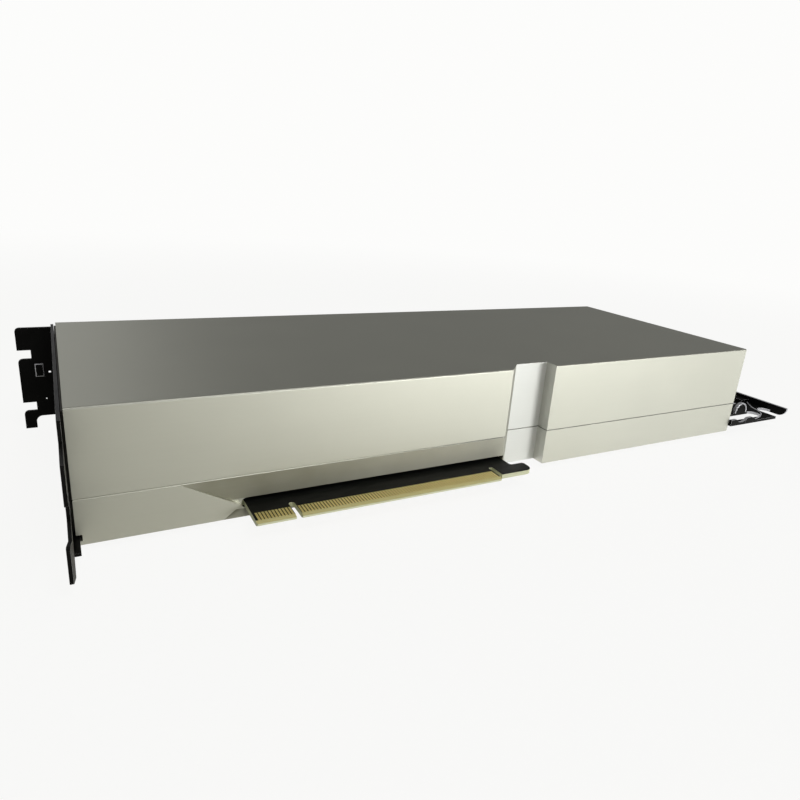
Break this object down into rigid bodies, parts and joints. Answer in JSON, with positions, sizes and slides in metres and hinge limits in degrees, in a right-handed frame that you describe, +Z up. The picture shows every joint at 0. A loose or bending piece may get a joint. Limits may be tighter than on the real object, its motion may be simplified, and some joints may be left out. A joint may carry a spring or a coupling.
{
  "type": "passive accelerator card",
  "caption": "Flat closed-shell accelerator card with a finned air path inside, edge connector tongue, vented bracket and tail extender.",
  "frame": {"origin": "middle of the shell's flat underside", "axes": "+X from the bracket towards the tail, +Y from the edge connector towards the far long edge, +Z up through the component side"},
  "size_m": [0.3239, 0.1214, 0.0407],
  "materials": {
    "shell_satin": "satin bead-blasted aluminium, warm grey",
    "shell_satin_lower": "satin bead-blasted aluminium, warm grey",
    "board_black": "black solder mask over glass epoxy",
    "gold_upper": "gold plated contacts",
    "gold_lower": "gold plated contacts",
    "bracket_black": "black coated pressed steel",
    "screw_black": "black oxide steel",
    "base_aluminium": "machined aluminium",
    "chamber_copper": "plain copper",
    "fin_aluminium": "thin bright aluminium sheet",
    "screw_steel_heatsink": "zinc plated steel",
    "substrate_green": "dark green package carrier",
    "stiffener_steel": "nickel plated metal",
    "die_silicon": "polished silicon",
    "memory_silicon": "dark moulded silicon",
    "paste_grey": "grey thermal paste",
    "inductor_grey": "pressed iron powder",
    "stage_black": "black moulded chip",
    "pad_pink": "soft silicone pad",
    "capacitor_ochre": "moulded block capacitor",
    "controller_black": "black moulded chip",
    "connector_black": "black nylon",
    "pin_tin": "tinned pins",
    "film_clear": "dark polyester film",
    "screw_steel_cover": "zinc plated steel",
    "extender_black": "black coated pressed steel",
    "screw_steel_extender": "zinc plated steel"
  },
  "bodies": {
    "root": {"upper_cover": "shell_satin", "lower_cover": "shell_satin_lower", "circuit_board": "board_black", "edge_contacts_component_side": "gold_upper", "edge_contacts_solder_side": "gold_lower", "io_bracket": "bracket_black", "bracket_screws": "screw_black", "heatsink_base": "base_aluminium", "vapour_chamber": "chamber_copper", "heatsink_fins": "fin_aluminium", "heatsink_screws": "screw_steel_heatsink", "processor_substrate": "substrate_green", "package_stiffener": "stiffener_steel", "processor_die": "die_silicon", "memory_stacks": "memory_silicon", "thermal_paste": "paste_grey", "power_inductors": "inductor_grey", "power_stages": "stage_black", "thermal_pads": "pad_pink", "bulk_capacitors": "capacitor_ochre", "board_controllers": "controller_black", "power_connector": "connector_black", "power_pins": "pin_tin", "insulating_film": "film_clear", "cover_screws": "screw_steel_cover", "tail_extender": "extender_black", "extender_screws": "screw_steel_extender"}
  },
  "joints": []
}
